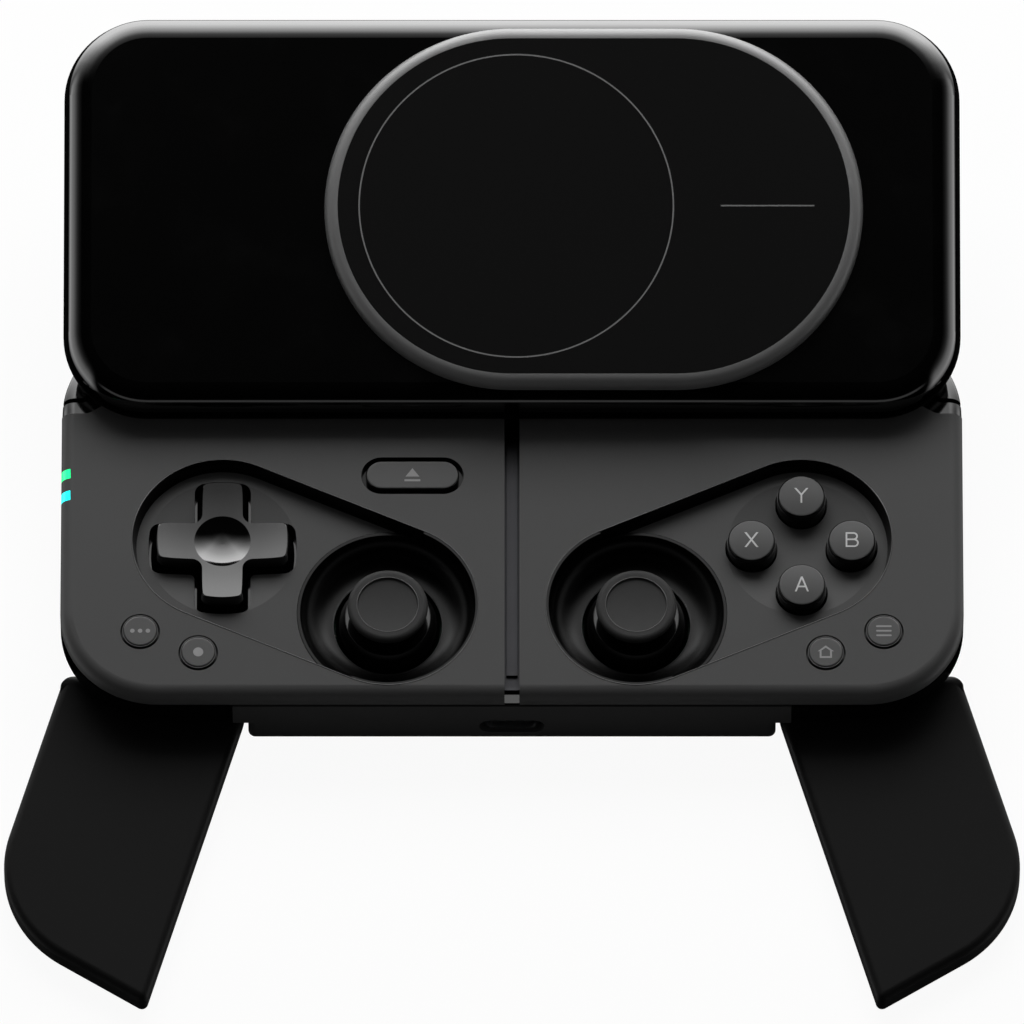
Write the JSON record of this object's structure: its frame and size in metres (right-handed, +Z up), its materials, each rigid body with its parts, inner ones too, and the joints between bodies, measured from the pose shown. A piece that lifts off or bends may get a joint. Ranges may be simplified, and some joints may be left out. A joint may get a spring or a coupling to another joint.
{
  "type": "mobile game controller",
  "caption": "Slab game controller with a sliding, tilting magnetic phone mount, fold-out grips, cross pad, face buttons, thumb sticks and shoulder keys.",
  "frame": {"origin": "centre of the flat underside of the spine, which the controller rests on", "axes": "+X to the player's right, +Y away from the player towards the shoulder keys, +Z up out of the deck"},
  "size_m": [0.1656, 0.1673, 0.038],
  "materials": {
    "shell_grey": "fine matte moulded shell",
    "black_gloss": "glossy black",
    "black_satin": "satin black",
    "grip_matte": "soft-touch matte",
    "rubber_black": "thumb rubber",
    "rubber_grey": "contact rubber",
    "steel": "turned pin and pressed steel",
    "board_green": "solder mask",
    "chip_black": "chip bodies",
    "cell_silver": "pouch foil",
    "magnet": "plated magnet",
    "socket_metal": "plated socket shell",
    "light_green": "light pipe",
    "light_blue": "light pipe",
    "glide_white": "low-friction pad"
  },
  "bodies": {
    "housing": {"top_shell": "shell_grey", "mid_frame": "black_gloss", "rear_frame": "black_gloss", "lower_housing": "black_gloss", "spine_cover": "grip_matte", "case_screws": "steel", "main_board": "board_green", "stick_board": "board_green", "board_parts": "chip_black", "battery": "cell_silver", "usb_socket": "socket_metal", "face_membrane": "rubber_grey", "dpad_membrane": "rubber_grey", "status_light_green": "light_green", "status_light_blue": "light_blue", "slide_rail": "steel", "grip_pins": "steel", "shoulder_pins": "steel", "dpad_fork": "black_satin", "left_stick_well": "black_satin", "right_stick_well": "black_satin", "stick_modules": "steel"},
    "carriage": {"slide_carriage": "steel", "carriage_glides": "glide_white"},
    "phone_plate": {"plate_frame": "black_satin", "plate_cover": "black_gloss", "plate_screws": "steel", "tilt_pin": "steel", "tilt_springs": "steel", "mount_pill": "black_satin", "pad_face": "black_satin", "magnet_ring": "magnet", "align_magnet": "magnet"},
    "left_grip": {"left_grip_shell": "grip_matte", "left_grip_lid": "grip_matte"},
    "right_grip": {"right_grip_shell": "grip_matte", "right_grip_lid": "grip_matte"},
    "left_bumper": {"left_bumper": "black_gloss"},
    "right_bumper": {"right_bumper": "black_gloss"},
    "left_trigger": {"left_trigger": "black_gloss"},
    "right_trigger": {"right_trigger": "black_gloss"},
    "button_a": {"button_a": "black_gloss"},
    "button_b": {"button_b": "black_gloss"},
    "button_x": {"button_x": "black_gloss"},
    "button_y": {"button_y": "black_gloss"},
    "key_options": {"key_options": "shell_grey"},
    "key_record": {"key_record": "shell_grey"},
    "key_home": {"key_home": "shell_grey"},
    "key_menu": {"key_menu": "shell_grey"},
    "key_eject": {"key_eject": "shell_grey"},
    "dpad_rocker": {"dpad_rocker": "black_satin"},
    "dpad": {"dpad": "black_gloss"},
    "left_yoke": {"left_stick_yoke": "black_satin"},
    "left_gimbal": {"left_stick_gimbal": "black_satin"},
    "left_stick": {"left_stick_shaft": "black_gloss", "left_stick_cap": "rubber_black"},
    "right_yoke": {"right_stick_yoke": "black_satin"},
    "right_gimbal": {"right_stick_gimbal": "black_satin"},
    "right_stick": {"right_stick_shaft": "black_gloss", "right_stick_cap": "rubber_black"}
  },
  "joints": [
    {"name": "plate_slide", "type": "slide", "parent": "housing", "child": "carriage", "axis": [0, 1, 0], "range_m": [-0.0502, 0]},
    {"name": "plate_tilt", "type": "hinge", "parent": "carriage", "child": "phone_plate", "pos_m": [0, 0.01972, 0.0184], "axis": [-1, 0, 0], "range_deg": [0, 12.8], "stiffness_Nm_per_rad": 0.15, "springref_deg": -31.51},
    {"name": "left_grip_fold", "type": "hinge", "parent": "housing", "child": "left_grip", "pos_m": [-0.05845, -0.0293, 0.0026], "axis": [0.9894, -0.145, 0], "range_deg": [0, 180]},
    {"name": "right_grip_fold", "type": "hinge", "parent": "housing", "child": "right_grip", "pos_m": [0.05845, -0.0293, 0.0026], "axis": [0.9894, 0.145, 0], "range_deg": [0, 180]},
    {"name": "left_bumper_press", "type": "hinge", "parent": "housing", "child": "left_bumper", "pos_m": [-0.0504, 0.0333, 0.0103], "axis": [0, 0, 1], "range_deg": [0, 1.1], "stiffness_Nm_per_rad": 0.5, "springref_deg": -1.15},
    {"name": "left_trigger_pull", "type": "hinge", "parent": "housing", "child": "left_trigger", "pos_m": [-0.05555, 0.0322, 0.0072], "axis": [-1, 0, 0], "range_deg": [0, 10], "stiffness_Nm_per_rad": 0.02, "springref_deg": -8.59},
    {"name": "left_stick_fore_aft", "type": "hinge", "parent": "housing", "child": "left_yoke", "pos_m": [-0.0203, -0.0178, 0.0052], "axis": [1, 0, 0], "range_deg": [-14, 14], "stiffness_Nm_per_rad": 0.02},
    {"name": "left_stick_side", "type": "hinge", "parent": "left_yoke", "child": "left_gimbal", "pos_m": [-0.0203, -0.0178, 0.0052], "axis": [0, 1, 0], "range_deg": [-14, 14], "stiffness_Nm_per_rad": 0.02},
    {"name": "left_stick_click", "type": "slide", "parent": "left_gimbal", "child": "left_stick", "axis": [0, 0, -1], "range_m": [0, 0.0004], "stiffness_N_per_m": 1200, "springref_m": -0.0006},
    {"name": "right_bumper_press", "type": "hinge", "parent": "housing", "child": "right_bumper", "pos_m": [0.0504, 0.0333, 0.0103], "axis": [0, 0, -1], "range_deg": [0, 1.1], "stiffness_Nm_per_rad": 0.5, "springref_deg": -1.15},
    {"name": "right_trigger_pull", "type": "hinge", "parent": "housing", "child": "right_trigger", "pos_m": [0.05555, 0.0322, 0.0072], "axis": [-1, 0, 0], "range_deg": [0, 10], "stiffness_Nm_per_rad": 0.02, "springref_deg": -8.59},
    {"name": "right_stick_fore_aft", "type": "hinge", "parent": "housing", "child": "right_yoke", "pos_m": [0.0203, -0.0178, 0.0052], "axis": [1, 0, 0], "range_deg": [-14, 14], "stiffness_Nm_per_rad": 0.02},
    {"name": "right_stick_side", "type": "hinge", "parent": "right_yoke", "child": "right_gimbal", "pos_m": [0.0203, -0.0178, 0.0052], "axis": [0, 1, 0], "range_deg": [-14, 14], "stiffness_Nm_per_rad": 0.02},
    {"name": "right_stick_click", "type": "slide", "parent": "right_gimbal", "child": "right_stick", "axis": [0, 0, -1], "range_m": [0, 0.0004], "stiffness_N_per_m": 1200, "springref_m": -0.0006},
    {"name": "button_a_press", "type": "slide", "parent": "housing", "child": "button_a", "axis": [0, 0, -1], "range_m": [0, 0.0009], "stiffness_N_per_m": 400, "springref_m": -0.0008},
    {"name": "button_b_press", "type": "slide", "parent": "housing", "child": "button_b", "axis": [0, 0, -1], "range_m": [0, 0.0009], "stiffness_N_per_m": 400, "springref_m": -0.0008},
    {"name": "button_x_press", "type": "slide", "parent": "housing", "child": "button_x", "axis": [0, 0, -1], "range_m": [0, 0.0009], "stiffness_N_per_m": 400, "springref_m": -0.0008},
    {"name": "button_y_press", "type": "slide", "parent": "housing", "child": "button_y", "axis": [0, 0, -1], "range_m": [0, 0.0009], "stiffness_N_per_m": 400, "springref_m": -0.0008},
    {"name": "key_options_press", "type": "slide", "parent": "housing", "child": "key_options", "axis": [0, 0, -1], "range_m": [0, 0.0004], "stiffness_N_per_m": 1500, "springref_m": -0.0004},
    {"name": "key_record_press", "type": "slide", "parent": "housing", "child": "key_record", "axis": [0, 0, -1], "range_m": [0, 0.0004], "stiffness_N_per_m": 1500, "springref_m": -0.0004},
    {"name": "key_home_press", "type": "slide", "parent": "housing", "child": "key_home", "axis": [0, 0, -1], "range_m": [0, 0.0004], "stiffness_N_per_m": 1500, "springref_m": -0.0004},
    {"name": "key_menu_press", "type": "slide", "parent": "housing", "child": "key_menu", "axis": [0, 0, -1], "range_m": [0, 0.0004], "stiffness_N_per_m": 1500, "springref_m": -0.0004},
    {"name": "key_eject_press", "type": "slide", "parent": "housing", "child": "key_eject", "axis": [0, 0, -1], "range_m": [0, 0.0004], "stiffness_N_per_m": 1500, "springref_m": -0.0004},
    {"name": "dpad_fore_aft", "type": "hinge", "parent": "housing", "child": "dpad_rocker", "pos_m": [-0.04735, -0.0058, 0.0096], "axis": [1, 0, 0], "range_deg": [-3, 3], "stiffness_Nm_per_rad": 0.1},
    {"name": "dpad_side", "type": "hinge", "parent": "dpad_rocker", "child": "dpad", "pos_m": [-0.04735, -0.0058, 0.0096], "axis": [0, 1, 0], "range_deg": [-3, 3], "stiffness_Nm_per_rad": 0.1}
  ]
}
